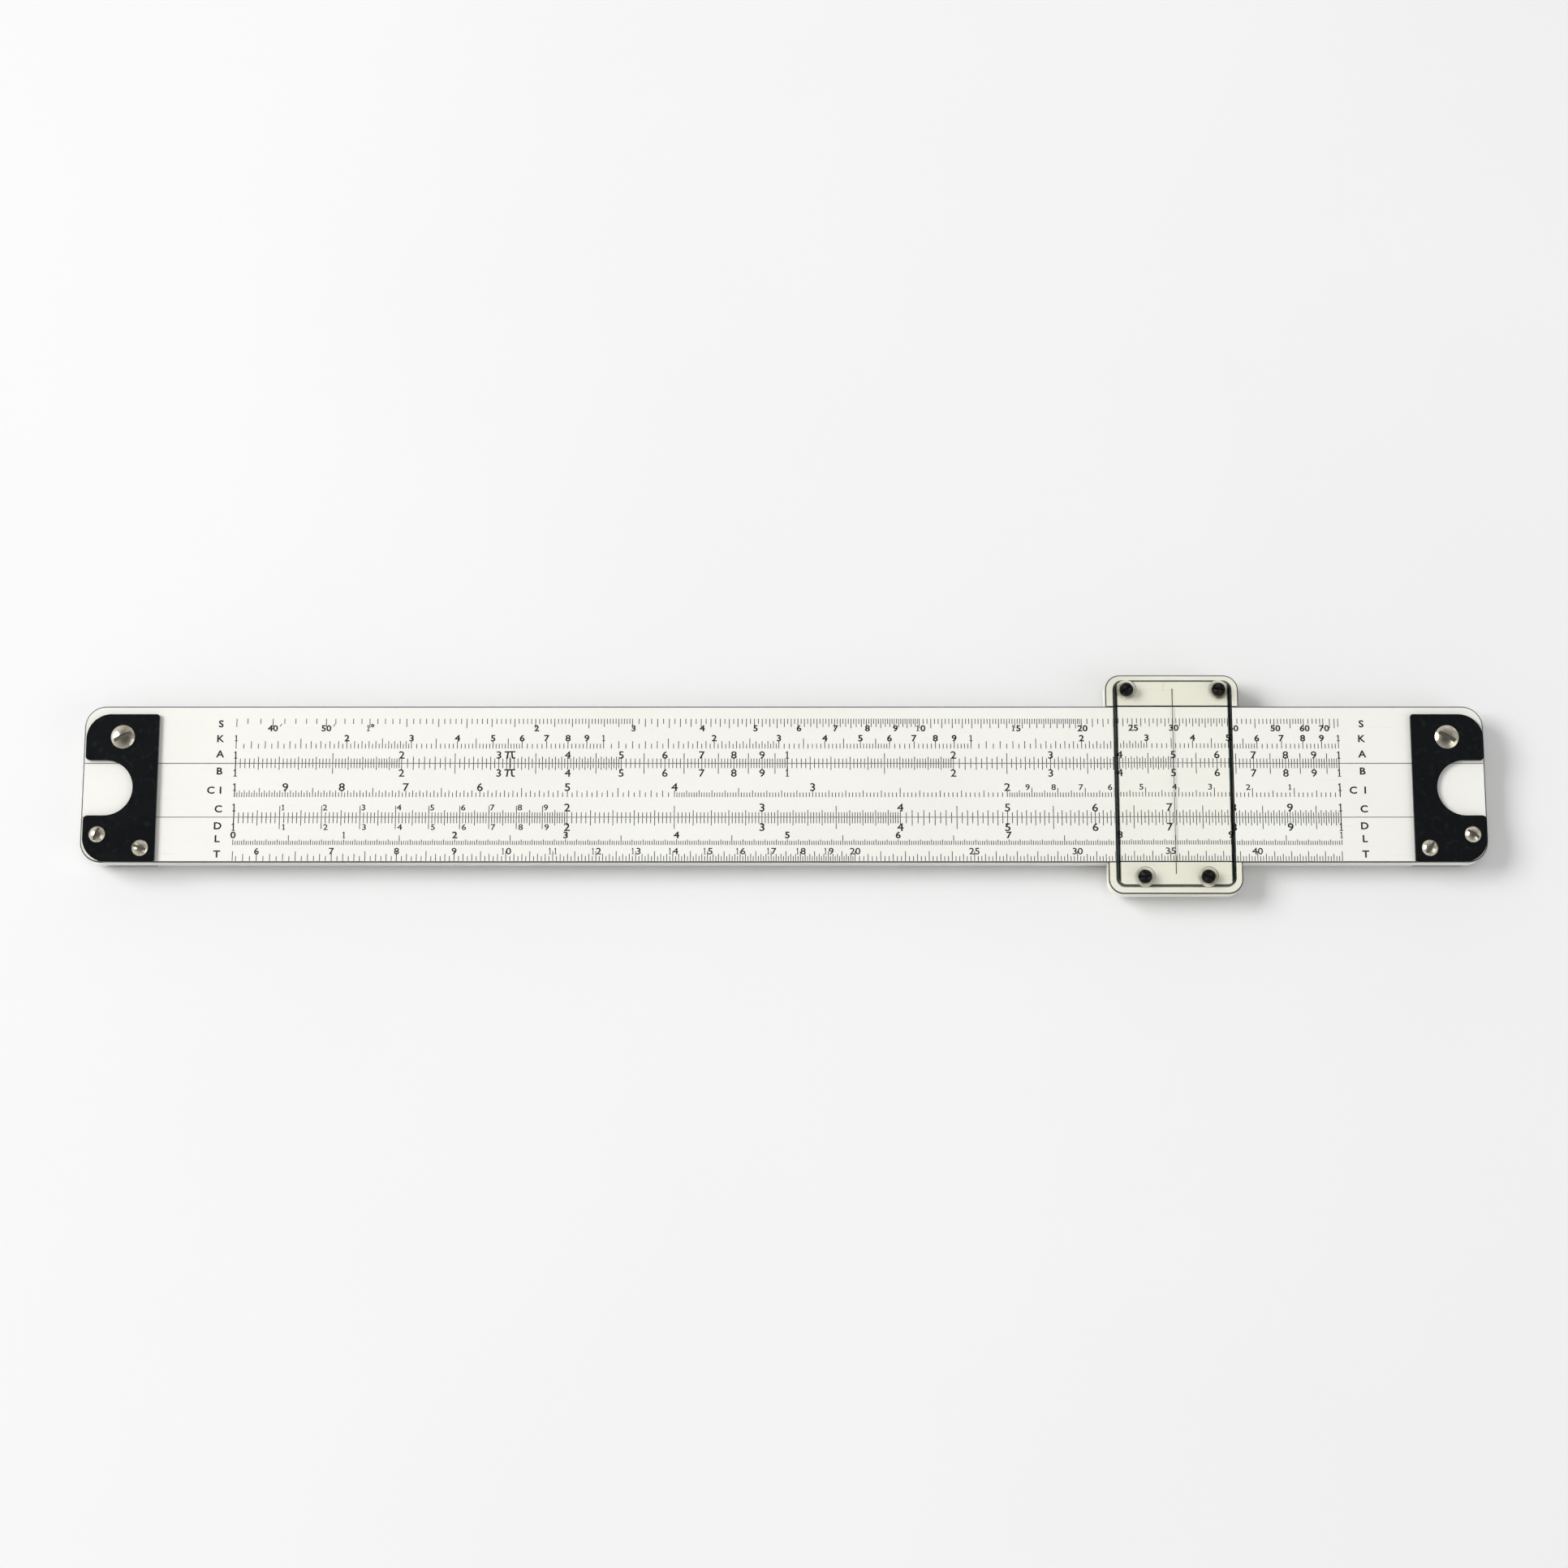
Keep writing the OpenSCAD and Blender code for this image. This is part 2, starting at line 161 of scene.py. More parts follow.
def add_bump(material, shader, factor, depth):
    """Relief of the given depth in metres, from a factor."""
    bump = material.node_tree.nodes.new("ShaderNodeBump")
    bump.inputs["Distance"].default_value = depth
    material.node_tree.links.new(factor, bump.inputs["Height"])
    material.node_tree.links.new(bump.outputs["Normal"], shader.inputs["Normal"])


def chamfer_share(material):
    """1 on a chamfer, whose normal lies between level and upright, and 0 on every other face."""
    height = reckon(material, "ABSOLUTE", coordinates(material, "Normal")[1]["Z"])
    ramp = material.node_tree.nodes.new("ShaderNodeValToRGB")
    material.node_tree.links.new(height, ramp.inputs["Fac"])
    stops = ((0.25, 0), (0.5, 1), (0.85, 1), (0.96, 0))
    for position, _ in stops[1:3]:
        ramp.color_ramp.elements.new(position)
    for element, (position, level) in zip(ramp.color_ramp.elements, stops):
        element.position = position
        element.color = (level, level, level, 1)
    return ramp.outputs["Color"]


def mix_colors(material, share, plain, changed):
    """The plain colour where the share is 0 and the changed one where it is 1. A colour can be a tuple
    or a socket."""
    mix = material.node_tree.nodes.new("ShaderNodeMix")
    mix.data_type = "RGBA"
    for name, color in (("A", plain), ("B", changed)):
        socket = next(s for s in mix.inputs if s.name == name and s.type == "RGBA")
        if isinstance(color, tuple):
            socket.default_value = (*color, 1)
        else:
            material.node_tree.links.new(color, socket)
    material.node_tree.links.new(share, mix.inputs["Factor"])
    return next(s for s in mix.outputs if s.type == "RGBA")


def moulded_plastic(name, light, dark, edge, roughness, streaks, relief):
    """Moulded plastic: faint clouds of colour, chamfers painted dark as shade along its edges and
    joints, fine lengthwise rubbing, and a soft surface relief."""
    material, shader = new_material(name, light, roughness)
    links = material.node_tree.links
    clouds = blend_colors(material, noise(material, 45, 4.0), light, dark)
    # Chamfers take the edge colour, which is painted shade.
    links.new(mix_colors(material, chamfer_share(material), clouds, edge), shader.inputs["Base Color"])
    rubbing = noise(material, 60, 5.0, (1, streaks, streaks))
    links.new(vary(material, rubbing, roughness * 0.75, roughness * 1.3), shader.inputs["Roughness"])
    add_bump(material, shader, noise(material, 900, 3.0), relief)
    return material


def body_material():
    """Ivory plastic that lets a little light in under its surface."""
    # The edge colour is painted shade, darkening the chamfers along the rule's edges and joints.
    material = moulded_plastic("ivory_plastic", (0.87, 0.865, 0.82), (0.85, 0.84, 0.785),
                               (0.045, 0.045, 0.042), roughness=0.36, streaks=30, relief=0.000012)
    shader = material.node_tree.nodes["Principled BSDF"]
    shader.inputs["Subsurface Weight"].default_value = 0.08
    shader.inputs["Subsurface Radius"].default_value = (0.002, 0.0018, 0.0014)
    return material


def stain_share(material, names, inner, outer):
    """Patchy rings round the upright axes of CAD nodes: up to 1 at the inner radius, 0 at the outer
    one, in metres."""
    nodes, links = material.node_tree.nodes, material.node_tree.links
    flat = nodes.new("ShaderNodeVectorMath")
    flat.operation = "MULTIPLY"
    flat.inputs[1].default_value = (1, 1, 0)
    links.new(coordinates(material, "Object")[0], flat.inputs[0])
    nearest = outer
    for name in names:
        low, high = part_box(name)
        distance = nodes.new("ShaderNodeVectorMath")
        distance.operation = "DISTANCE"
        distance.inputs[1].default_value = ((low.x + high.x) / 2, (low.y + high.y) / 2, 0)
        links.new(flat.outputs["Vector"], distance.inputs[0])
        nearest = reckon(material, "MINIMUM", distance.outputs["Value"], nearest)
    ring = vary(material, nearest, 1.0, 0.0, start=inner, stop=outer, smooth=True)
    return reckon(material, "MULTIPLY", ring, vary(material, noise(material, 420, 3.0), 0.15, 1.0))


def cream_material():
    """Cream plastic, stained brown where grime has crept in round the screws."""
    # The edge colour is painted shade, darkening the chamfers of the blocks.
    material = moulded_plastic("cream_plastic", (0.81, 0.8, 0.7), (0.76, 0.745, 0.63),
                               (0.045, 0.044, 0.036), roughness=0.3, streaks=12, relief=0.00001)
    surface = material.node_tree.nodes["Principled BSDF"].inputs["Base Color"]
    clean = surface.links[0].from_socket
    stain = stain_share(material, named("cursor_screw"), inner=1.6 * MM, outer=2.7 * MM)
    material.node_tree.links.new(mix_colors(material, stain, clean, (0.2, 0.18, 0.1)), surface)
    return material


def plate_material():
    """Glossy black with a breath of green, fine dust and handling marks."""
    material, shader = new_material("black_plate", (0.004, 0.005, 0.005), 0.12)
    shader.inputs["Specular IOR Level"].default_value = 0.35
    links = material.node_tree.links
    dust = noise(material, 700, 8.0)
    color = blend_colors(material, dust, (0.003, 0.004, 0.005), (0.012, 0.015, 0.016), 0.55, 0.8)
    links.new(color, shader.inputs["Base Color"])
    handling = noise(material, 120, 6.0)
    links.new(vary(material, handling, 0.08, 0.24), shader.inputs["Roughness"])
    add_bump(material, shader, noise(material, 350, 2.0), 0.000008)
    return material


def metal(name, color, stained, roughness, relief):
    """Metal with a worn finish: patches of stain, uneven polish and a fine brushed relief."""
    material, shader = new_material(name, color, roughness)
    shader.inputs["Metallic"].default_value = 1.0
    links = material.node_tree.links
    patches = noise(material, 900, 5.0)
    links.new(blend_colors(material, patches, color, stained, 0.4, 0.72), shader.inputs["Base Color"])
    links.new(vary(material, patches, roughness * 0.7, roughness * 1.5), shader.inputs["Roughness"])
    add_bump(material, shader, noise(material, 2500, 4.0, (1, 4, 1)), relief)
    return material


def side_share(material, low, high, band):
    """1 within a band of an object's two sides along X and 0 between them, in metres."""
    along = coordinates(material, "Object")[1]["X"]
    distance = reckon(material, "ABSOLUTE", reckon(material, "SUBTRACT", along, (low.x + high.x) / 2))
    side = (high.x - low.x) / 2
    return vary(material, distance, 0.0, 1.0, start=side - band, stop=side - band * 0.7, smooth=True)


def acrylic_material():
    """Clear acrylic, thinly scratched by use, with dark green shade painted on its bevels and along
    its long sides.
    Light that falls through it to what lies below is let straight past."""
    clear, dark = (1, 1, 0.99), (0.006, 0.011, 0.009)
    material, shader = new_material("clear_acrylic", clear, 0.02)
    shader.inputs["Transmission Weight"].default_value = 1.0
    shader.inputs["IOR"].default_value = 1.49
    shader.inputs["Specular Tint"].default_value = (0.35, 0.35, 0.35, 1)
    nodes, links = material.node_tree.nodes, material.node_tree.links
    # Painted shade: the dark colour on the bevels, and in a band along the long sides.
    bevels = mix_colors(material, chamfer_share(material), clear, dark)
    sides = side_share(material, *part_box("cursor_window"), band=1.2 * MM)
    links.new(mix_colors(material, sides, bevels, dark), shader.inputs["Base Color"])
    scratches = noise(material, 80, 6.0, (1, 40, 40))
    links.new(vary(material, scratches, 0.0, 0.012), shader.inputs["Roughness"])
    rays = nodes.new("ShaderNodeLightPath")
    passing = nodes.new("ShaderNodeBsdfTransparent")
    passing.inputs["Color"].default_value = (*clear, 1)
    seen = shader.outputs["BSDF"]
    for kind in ("Is Diffuse Ray", "Is Shadow Ray"):
        either = nodes.new("ShaderNodeMixShader")
        links.new(rays.outputs[kind], either.inputs["Fac"])
        links.new(seen, either.inputs[1])
        links.new(passing.outputs["BSDF"], either.inputs[2])
        seen = either.outputs["Shader"]
    links.new(seen, nodes["Material Output"].inputs["Surface"])
    return material


def black_screw_material():
    """Blackened steel with paler worn patches."""
    material, shader = new_material("blackened_steel", (0.018, 0.018, 0.019), 0.34)
    shader.inputs["Metallic"].default_value = 0.6
    links = material.node_tree.links
    worn = noise(material, 1400, 6.0)
    color = blend_colors(material, worn, (0.012, 0.012, 0.013), (0.09, 0.085, 0.075), 0.5, 0.85)
    links.new(color, shader.inputs["Base Color"])
    links.new(vary(material, worn, 0.25, 0.5), shader.inputs["Roughness"])
    add_bump(material, shader, worn, 0.00001)
    return material


def ink_material():
    """Black printing ink: a little uneven in tone, matt, with a fine tooth."""
    material, shader = new_material("printing_ink", (0.012, 0.012, 0.014), 0.55)
    shader.inputs["Specular IOR Level"].default_value = 0.2
    links = material.node_tree.links
    density = noise(material, 1600, 3.0)
    links.new(blend_colors(material, density, (0.008, 0.008, 0.01), (0.03, 0.03, 0.032)),
              shader.inputs["Base Color"])
    links.new(vary(material, density, 0.45, 0.65), shader.inputs["Roughness"])
    return material


def floor_material():
    """A pale matt table top with a hardly visible mottle, and a painted glow that lightens it far away
    into the room.
    """
    material, shader = new_material("pale_table", (0.84, 0.84, 0.84), 0.75)
    shader.inputs["Specular IOR Level"].default_value = 0.1
    mottle = noise(material, 6, 3.0)
    color = blend_colors(material, mottle, (0.832, 0.832, 0.834), (0.846, 0.846, 0.848))
    nodes, links = material.node_tree.nodes, material.node_tree.links
    links.new(color, shader.inputs["Base Color"])
    distance = nodes.new("ShaderNodeVectorMath")
    distance.operation = "LENGTH"
    links.new(coordinates(material, "Object")[0], distance.inputs[0])
    # Painted light: the floor glows more the further it lies from the centre, so it fades pale far
    # away.
    painted_glow = vary(material, distance.outputs["Value"], 0.0, 0.5, start=1.2, stop=4.0)
    shader.inputs["Emission Color"].default_value = (1, 1, 1, 1)
    links.new(painted_glow, shader.inputs["Emission Strength"])
    return material


# ---- CAD nodes ----

def dress(nodes, material):
    """Gives CAD nodes their material."""
    for name in nodes:
        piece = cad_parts[name]
        piece.data.materials.clear()
        piece.data.materials.append(material)


def add_modifier(piece, kind, **values):
    """Adds a modifier, which leaves the CAD mesh under it as it is."""
    modifier = piece.modifiers.new(kind.lower(), kind)
    for name, value in values.items():
        setattr(modifier, name, value)


def chamfer_edges(nodes, width):
    """Cuts a crisp chamfer along the sharp edges of CAD nodes."""
    for name in nodes:
        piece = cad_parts[name]
        add_modifier(piece, "WELD", merge_threshold=1e-6)
        add_modifier(piece, "BEVEL", width=width * MM, segments=1, limit_method="ANGLE",
                     angle_limit=math.radians(40))
        add_modifier(piece, "EDGE_SPLIT", split_angle=CREASE)


def draw_in(name, depth):
    """Draws the faces of a clear CAD node in by a hair, so that none lies on its neighbour's face."""
    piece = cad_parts[name]
    add_modifier(piece, "WELD", merge_threshold=1e-6)
    add_modifier(piece, "DISPLACE", strength=-depth * MM, mid_level=0)
    add_modifier(piece, "EDGE_SPLIT", split_angle=CREASE)


def named(*parts):
    """The CAD nodes whose names start with any of these words."""
    return sorted(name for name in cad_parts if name.startswith(parts))


# ---- Ink ----

lettering = bpy.data.curves.new("lettering", "FONT")
lettering.resolution_u = 3
letter_block = bpy.data.objects.new("lettering", lettering)
letter_cache = {}

# A Greek pi at size 1: its bar, its left leg, and its right leg with a foot, as quads
PI_POINTS = np.array([
    (0.0, 0.45), (0.64, 0.47), (0.64, 0.54), (0.0, 0.52),
    (0.1, 0.0), (0.18, 0.0), (0.24, 0.46), (0.17, 0.46),
    (0.42, 0.11), (0.5, 0.13), (0.47, 0.46), (0.4, 0.46),
    (0.48, 0.01), (0.62, 0.0), (0.63, 0.07), (0.54, 0.07),
])
PI_TRIANGLES = [(0, 1, 2), (0, 2, 3), (4, 5, 6), (4, 6, 7), (8, 9, 10), (8, 10, 11),
                (12, 13, 14), (12, 14, 15), (12, 15, 9), (12, 9, 8)]
# The flag of a figure 1 at size 1, measured from the left side of its bar, which is ONE_BAR wide
FLAG_POINTS = np.array([(-0.13, 0.5), (0.0, 0.58), (0.0, 0.68), (-0.13, 0.585)])
FLAG_TRIANGLES = [(0, 1, 2), (0, 2, 3)]
ONE_BAR = 0.098
LETTER_GAP = 0.07
SPACE = 0.28


def rim_edges(triangles):
    """The directed edges of a sheet of triangles that no second triangle shares."""
    edges = {(t[i], t[(i + 1) % 3]) for t in triangles for i in range(3)}
    return sorted(edge for edge in edges if (edge[1], edge[0]) not in edges)


def outline(string):
    """(points, triangles) of a string in the built-in font at size 1, standing on its baseline."""
    lettering.body = string
    mesh = bpy.data.meshes.new_from_object(letter_block)
    mesh.calc_loop_triangles()
    points = np.array([vertex.co[:2] for vertex in mesh.vertices]).reshape(-1, 2)
    triangles = [tuple(triangle.vertices) for triangle in mesh.loop_triangles]
    bpy.data.meshes.remove(mesh)
    return points, triangles


def typeset(string):
    """The outline of a string, with a flag on each figure 1, which the font draws as a plain bar."""
    points, triangles = outline(string)
    for i, letter in enumerate(string):
        if letter == "1":
            count = len(points)
            bar_left = outline(string[:i + 1])[0][:, 0].max() - ONE_BAR
            points = np.concatenate((points, FLAG_POINTS + (bar_left, 0)))
            triangles += [tuple(count + corner for corner in face) for face in FLAG_TRIANGLES]
    return points, triangles


def join_at_pi(parts):
    """Sets the parts of a string side by side with a pi between each two of them."""
    points, triangles, right = [], [], 0.0
    for i, part in enumerate(parts):
        shapes = [(PI_POINTS, PI_TRIANGLES)] if i else []
        shapes += [typeset(part)] if part.strip() else []
        for shape, faces in shapes:
            count = sum(len(block) for block in points)
            shift = right + LETTER_GAP - shape[:, 0].min()
            points.append(shape + (shift, 0))
            triangles += [tuple(count + corner for corner in face) for face in faces]
            right = points[-1][:, 0].max()
        right += SPACE * (len(part) - len(part.rstrip()))
    return np.concatenate(points), triangles


def thicken(points, triangles, width):
    """Moves the rim of a flat shape outwards by a width."""
    outwards = np.zeros_like(points)
    for start, end in rim_edges(triangles):
        along = points[end] - points[start]
        normal = np.array((along[1], -along[0])) / max(np.linalg.norm(along), 1e-9)
        outwards[start] += normal
        outwards[end] += normal
    length = np.linalg.norm(outwards, axis=1, keepdims=True)
    reach = np.minimum(2 / np.maximum(length, 1e-9), 1.5)
    return points + width * reach * outwards / np.maximum(length, 1e-9)


def letter_shape(string, weight):
    """(points, triangles) of a string at size 1, with its strokes thickened by a weight."""
    if (string, weight) not in letter_cache:
        points, triangles = join_at_pi(string.split("π")) if "π" in string else typeset(string)
        letter_cache[string, weight] = (thicken(points, triangles, weight), triangles)
    return letter_cache[string, weight]


class Print:
    """The ink on one face of one moving part. Places are in millimetres: u from the rule's left
    end, and d down from its edge that is uppermost when that face is looked at."""

    def __init__(self, name, body, face_z, front=True):
        self.name = name
        self.body = body
        self.side = 1 if front else -1
        self.top = face_z / MM + self.side * INK_PROUD
        self.bottom = face_z / MM - self.side * INK_SUNK
        self.points = []
        self.faces = []
        self.count = 0

    def sheet(self, points, faces, rim):
        """Adds a flat outline, given as faces and the directed edges of its rim, as a closed slab."""
        size = len(points)
        flat = np.column_stack((points[:, 0] + LEFT_END, self.side * (HALF_WIDTH - points[:, 1])))
        for level in (self.top, self.bottom):
            self.points.append(np.column_stack((flat, np.full(size, level))))
        high, low = self.count, self.count + size
        self.faces += [tuple(high + i for i in face) for face in faces]
        self.faces += [tuple(low + i for i in reversed(face)) for face in faces]
        self.faces += [(high + b, high + a, low + a, low + b) for a, b in rim]
        self.count += 2 * size

    def quad(self, corners):
        """Adds one slab with four corners, in anticlockwise order as the face is looked at."""
        self.sheet(np.array(corners, float), [(0, 1, 2, 3)], [(0, 1), (1, 2), (2, 3), (3, 0)])

    def bar(self, u_low, d_low, u_high, d_high):
        """An upright rectangle between two corners."""
        self.quad([(u_low, d_high), (u_high, d_high), (u_high, d_low), (u_low, d_low)])

    def upright(self, u, d_low, d_high, width):
        """A line down the face at u."""
        self.bar(u - width / 2, d_low, u + width / 2, d_high)

    def tick(self, u, d_base, length, width=TICK_WIDTH):
        """A graduation at u. It hangs down from d_base, or stands up from it if length is negative."""
        self.upright(u, *sorted((d_base, d_base + length)), width)

    def stroke(self, start, end, width):
        """A straight line between two places."""
        start, end = np.array(start, float), np.array(end, float)
        along = (end - start) / np.linalg.norm(end - start)
        across = np.array((along[1], -along[0])) * width / 2
        self.quad([start - across, end - across, end + across, start + across])

    def text(self, u, d, string, height, align="CENTER", squeeze=1.0, weight=PLAIN):
        """Lettering whose capitals are height tall and centred on d. Returns its width."""
        points, triangles = letter_shape(string, weight)
        size = height / CAP_HEIGHT
        low, high = points[:, 0].min(), points[:, 0].max()
        origin = {"LEFT": low, "CENTER": (low + high) / 2, "RIGHT": high}[align]
        placed = np.column_stack((
            u + (points[:, 0] - origin) * size * squeeze,
            d + height / 2 - points[:, 1] * size,
        ))
        self.sheet(placed, triangles, rim_edges(triangles))
        return (high - low) * size * squeeze

    def one(self, u, d, height, stem):
        """The scales' figure 1, with its flag and foot."""
        foot = stem * 2.8
        self.bar(u - stem / 2, d - height / 2, u + stem / 2, d + height / 2)
        self.bar(u - foot / 2, d + height / 2 - stem * 0.6, u - stem / 2, d + height / 2)
        self.bar(u + stem / 2, d + height / 2 - stem * 0.6, u + foot / 2, d + height / 2)
        self.quad([(u - foot / 2, d - height * 0.22), (u - stem / 2, d - height * 0.34),
                   (u - stem / 2, d - height / 2), (u - foot / 2, d - height * 0.34)])

    def figure(self, u, d, number, height, weight=PLAIN, stem=0.23):
        """A whole number as the scales letter it, centred on u: wide figures, each 1 with its foot."""
        advance = height * 0.86
        digits = str(number)
        for i, digit in enumerate(digits):
            place = u + (i - (len(digits) - 1) / 2) * advance
            if digit == "1":
                self.one(place, d, height, stem)
            else:
                self.text(place, d, digit, height, squeeze=1.18, weight=weight)

    def finish(self, material):
        """Makes the piece and lets it ride on its body."""
        mesh = bpy.data.meshes.new(self.name)
        mesh.from_pydata(np.concatenate(self.points) * MM, [], self.faces)
        mesh.materials.append(material)
        mesh.validate()
        piece = bpy.data.objects.new(self.name, mesh)
        bpy.context.scene.collection.objects.link(piece)
        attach(piece, self.body)
        return piece


# ---- Front scales ----

def log_place(decade, unit, offset=0.0):
    """Where n hundredths of a decade's numbers fall, in millimetres from the rule's left end."""
    return lambda n: LEFT_INDEX + offset + decade * math.log10(n / unit)


def reversed_place(decade, unit):
    """The same for a scale that runs from right to left."""
    return lambda n: LEFT_INDEX + SCALE_LENGTH - decade * math.log10(n / unit)


def sine_place(minutes):
    """Where an angle's sine falls on the A scale."""
    return LEFT_INDEX + SCALE_LENGTH / 2 * math.log10(100 * math.sin(math.radians(minutes / 60)))


def tangent_place(minutes):
    """Where an angle's tangent falls on the D scale."""
    return LEFT_INDEX + SCALE_LENGTH * math.log10(10 * math.tan(math.radians(minutes / 60)))


def even_place(n):
    """Where n 500ths of the scale's length fall."""
    return LEFT_INDEX + n * SCALE_LENGTH / 500


def graduate(ink, place, baseline, lengths, runs, named_every):
    """Ticks of one scale. A run is (start, stop, step, middle, long) in whole units: every step gets
    a short tick, every middle a middle one and every long a long one. Where a numeral stands over
    its tick, at each multiple of named_every, the tick is a middle one."""
    short, middle, long = lengths
    for start, stop, step, every_middle, every_long in runs:
        for n in range(start, stop, step):
            length = short
            if n % every_middle == 0:
                length = middle
            if n % every_long == 0 and n % named_every:
                length = long
            ink.tick(place(n), baseline, length)


C_RUNS = [(100, 200, 1, 5, 10), (200, 400, 2, 10, 50), (400, 1000, 5, 10, 50)]
A_RUNS = [(100, 200, 2, 10, 50), (200, 500, 5, 10, 50), (500, 1000, 10, 100, 50)]
K_RUNS = [(100, 300, 5, 10, 50), (300, 600, 10, 100, 50), (600, 1000, 20, 100, 100)]
S_RUNS = [(36, 180, 2, 10, 30), (180, 600, 5, 10, 30), (600, 1200, 10, 30, 30),
          (1200, 2400, 30, 60, 300), (2400, 3600, 60, 300, 300), (3600, 4200, 120, 600, 300),
          (4200, 4801, 300, 600, 300)]
T_RUNS = [(345, 1200, 5, 10, 30), (1200, 2700, 10, 30, 60)]
L_RUNS = [(0, 501, 1, 5, 25)]
# Past every count, for a scale whose long ticks are long under their numerals too
NEVER = 10 ** 6


def scale_letters(ink, name, d):
    """A scale's name at both ends. A two-letter name is spaced out."""
    height = 1.55
    if len(name) == 1:
        for u in (LEFT_INDEX - 3.55, LEFT_INDEX + SCALE_LENGTH + 5.3):
            ink.text(u, d, name, height, squeeze=1.12, weight=BOLD)
        return
    for end, offsets in ((LEFT_INDEX, (-5.4, -3.2)), (LEFT_INDEX + SCALE_LENGTH, (3.0, 5.7))):
        for offset, letter in zip(offsets, name):
            ink.text(end + offset, d, letter, height, squeeze=1.12, weight=BOLD)


def index_ones(ink, baseline, length, d, height, stops):
    """The index marks of a scale and the bold figure 1 by each."""
    for u in stops:
        ink.tick(u, baseline, length, INDEX_TICK_WIDTH)
        ink.one(u, d, height, 0.27)


def print_sine(ink):
    """The S scale, in degrees, with 40 and 50 minutes marked ahead of 1 degree."""
    baseline, d = 2.9, 5.1
    graduate(ink, sine_place, baseline, (1.2, 1.9, 2.2), S_RUNS, NEVER)
    for u in (LEFT_INDEX, LEFT_INDEX + SCALE_LENGTH):
        ink.tick(u, baseline, 1.9)
    for minutes in (40, 50):
        ink.figure(sine_place(minutes), d, minutes, 1.35, BOLD)
        ink.stroke((sine_place(minutes) + 1.6, d - 0.4), (sine_place(minutes) + 2.0, d - 1.0), 0.16)
    ink.figure(sine_place(60) - 0.35, d, 1, 1.35, BOLD)
    ink.text(sine_place(60) + 0.6, d, "°", 1.7, weight=BOLD)
    for degree in (*range(2, 11), 15, *range(20, 71, 10), 25):
        ink.figure(sine_place(60 * degree) + 0.25, d, degree, 1.35, BOLD)
    scale_letters(ink, "S", 4.07)


def print_cubes(ink):
    """The K scale: three decades from end to end."""
    baseline, d, decade = 9.8, 7.4, SCALE_LENGTH / 3
    for turn in range(3):
        place = log_place(decade, 100, turn * decade)
        graduate(ink, place, baseline, (-1.1, -1.7, -2.3), K_RUNS, 100)
        for number in range(2, 10):
            ink.figure(place(100 * number), d, number, 1.4, BOLD)
    for turn in range(4):
        u = LEFT_INDEX + turn * decade
        ink.tick(u, baseline, -1.7)
        ink.one(u, d, 1.4, 0.24)
    scale_letters(ink, "K", 7.5)


def print_squares(ink, name, baseline, lengths, d, letter_d):
    """The A or B scale: two decades from end to end."""
    decade = SCALE_LENGTH / 2
    for turn in range(2):
        place = log_place(decade, 100, turn * decade)
        graduate(ink, place, baseline, lengths, A_RUNS, 100)
        for number in range(2, 10):
            ink.figure(place(100 * number), d, number, 1.65)
    pi_place = log_place(decade, 1)(math.pi)
    ink.tick(pi_place, baseline, lengths[1])
    ink.text(pi_place, d - 0.25, "π", 2.2, squeeze=1.15)
    index_ones(ink, baseline, lengths[1], d, 1.65, [LEFT_INDEX + turn * decade for turn in range(3)])
    scale_letters(ink, name, letter_d)


def print_inverse(ink):
    """The CI scale, which runs from right to left."""
    baseline, d, place = 21.0, 18.7, reversed_place(SCALE_LENGTH, 100)
    graduate(ink, place, baseline, (-1.05, -1.5, -2.1), C_RUNS, 100)
    for number in range(2, 10):
        ink.figure(place(100 * number), d, number, 1.75)
    for tenth in range(1, 10):
        ink.figure(place(100 + 10 * tenth) - 0.95, d, tenth, 1.3)
    index_ones(ink, baseline, -1.5, d, 1.75, (LEFT_INDEX, LEFT_INDEX + SCALE_LENGTH))
    scale_letters(ink, "CI", 19.4)


def print_numbers(ink, name, baseline, lengths, d, letter_d, aside):
    """The C or D scale. The figures for 1.1 to 1.9 stand beside their long ticks."""
    place = log_place(SCALE_LENGTH, 100)
    graduate(ink, place, baseline, lengths, C_RUNS, 100)
    for number in range(2, 10):
        ink.figure(place(100 * number), d, number, 1.75)
    for tenth in range(1, 10):
        ink.figure(place(100 + 10 * tenth) + aside, d, tenth, 1.3)
    index_ones(ink, baseline, lengths[1], d, 1.75, (LEFT_INDEX, LEFT_INDEX + SCALE_LENGTH))
    scale_letters(ink, name, letter_d)


def print_logarithms(ink):
    """The L scale, evenly divided."""
    baseline, d = 32.0, 29.7
    graduate(ink, even_place, baseline, (-0.95, -1.25, -2.2), L_RUNS, 50)
    for number in range(11):
        shown = 1 if number == 10 else number
        ink.figure(LEFT_INDEX + number * SCALE_LENGTH / 10, d, shown, 1.45, BOLD)
    scale_letters(ink, "L", 30.55)


def print_tangent(ink):
    """The T scale, in degrees."""
    baseline, d = 35.65, 33.4
    graduate(ink, tangent_place, baseline, (-1.1, -1.6, -2.2), T_RUNS, NEVER)
    for u in (LEFT_INDEX, LEFT_INDEX + SCALE_LENGTH):
        ink.tick(u, baseline, -2.2)
    for degree in [*range(6, 21), 25, 30, 35, 40]:
        ink.figure(tangent_place(60 * degree), d, degree, 1.45, PLAIN, 0.17)
    scale_letters(ink, "T", 34.06)


